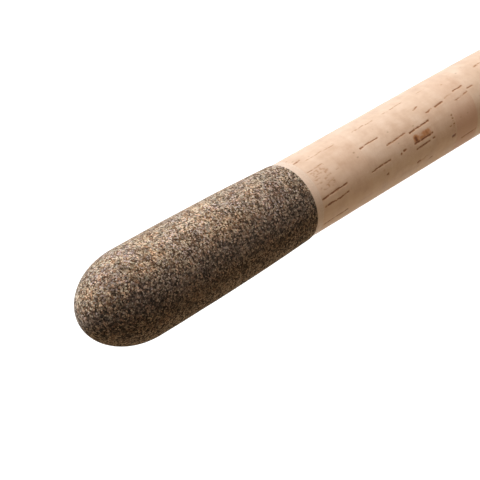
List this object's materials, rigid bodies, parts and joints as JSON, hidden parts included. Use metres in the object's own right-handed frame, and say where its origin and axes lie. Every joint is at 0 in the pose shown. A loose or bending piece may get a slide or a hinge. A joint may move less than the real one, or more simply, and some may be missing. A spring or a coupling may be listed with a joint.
{
  "type": "feeder rod",
  "caption": "Two-piece feeder rod with a cork handle, a composite cork butt cap, a screw-down reel seat, ringed carbon sections and a push-in quiver tip.",
  "frame": {"origin": "on the rod's axis, midway along the reel seat, where the hand holds it", "axes": "+Y along the rod from the butt to the tip, -Z towards the side of the guides and the reel's foot"},
  "size_m": [0.0292, 3.0017, 0.0593],
  "materials": {
    "composite_cork": "matt granules of dark rubber and cork in resin",
    "trim_cork": "fine smooth agglomerate",
    "natural_cork": "sanded, with dark pores running along the rod",
    "dark_alloy": "dark anodised satin",
    "black_nylon": "moulded, fine satin",
    "paper_arbor": "wound kraft paper",
    "stainless": "polished",
    "carbon_blank": "clear-lacquered carbon fibre",
    "quiver_paint": "pale painted glass fibre, with a bright end",
    "thread_wrap": "thread under clear epoxy",
    "ring_ceramic": "polished"
  },
  "bodies": {
    "butt_section": {"butt_cap": "composite_cork", "trim_ring": "trim_cork", "cork_ring_1": "natural_cork", "cork_ring_2": "natural_cork", "cork_ring_3": "natural_cork", "cork_ring_4": "natural_cork", "cork_ring_5": "natural_cork", "cork_ring_6": "natural_cork", "cork_ring_7": "natural_cork", "rear_grip": "natural_cork", "rear_collar": "dark_alloy", "reel_seat": "black_nylon", "arbor_rear": "paper_arbor", "arbor_front": "paper_arbor", "fixed_hood": "stainless", "fore_grip": "natural_cork", "fore_collar": "dark_alloy", "butt_blank": "carbon_blank", "hook_keeper": "stainless", "keeper_wrap": "thread_wrap", "guide_1_frame": "stainless", "guide_1_ring": "ring_ceramic", "guide_1_wrap": "thread_wrap"},
    "sliding_hood": {"sliding_hood": "stainless"},
    "lock_nut": {"lock_nut": "dark_alloy"},
    "tip_section": {"tip_blank": "carbon_blank", "socket_wrap": "thread_wrap", "quiver_socket_wrap": "thread_wrap", "guide_2_frame": "stainless", "guide_2_ring": "ring_ceramic", "guide_2_wrap": "thread_wrap", "guide_3_frame": "stainless", "guide_3_ring": "ring_ceramic", "guide_3_wrap": "thread_wrap", "guide_4_frame": "stainless", "guide_4_ring": "ring_ceramic", "guide_4_wrap": "thread_wrap", "guide_5_frame": "stainless", "guide_5_ring": "ring_ceramic", "guide_5_wrap": "thread_wrap", "guide_6_frame": "stainless", "guide_6_ring": "ring_ceramic", "guide_6_wrap": "thread_wrap"},
    "quiver_tip": {"quiver_blank": "quiver_paint", "tip_ring_frame": "stainless", "tip_ring": "ring_ceramic", "quiver_guide_1": "stainless", "quiver_wrap_1": "thread_wrap", "quiver_guide_2": "stainless", "quiver_wrap_2": "thread_wrap", "quiver_guide_3": "stainless", "quiver_wrap_3": "thread_wrap", "quiver_guide_4": "stainless", "quiver_wrap_4": "thread_wrap", "quiver_guide_5": "stainless", "quiver_wrap_5": "thread_wrap", "quiver_guide_6": "stainless", "quiver_wrap_6": "thread_wrap"}
  },
  "joints": [
    {"name": "tip_joint", "type": "slide", "parent": "butt_section", "child": "tip_section", "axis": [0, 1, 0], "range_m": [0, 0.06]},
    {"name": "quiver_joint", "type": "slide", "parent": "tip_section", "child": "quiver_tip", "axis": [0, 1, 0], "range_m": [0, 0.042]},
    {"name": "hood_slide", "type": "slide", "parent": "butt_section", "child": "sliding_hood", "axis": [0, -1, 0], "range_m": [0, 0.018]},
    {"name": "nut_spin", "type": "hinge", "parent": "sliding_hood", "child": "lock_nut", "pos_m": [0, 0.048, 0], "axis": [0, -1, 0], "range_deg": [0, 4320]}
  ],
  "couplings": [
    {"joint": "nut_spin", "follows": "hood_slide", "rad_per_m": 4188.8}
  ]
}
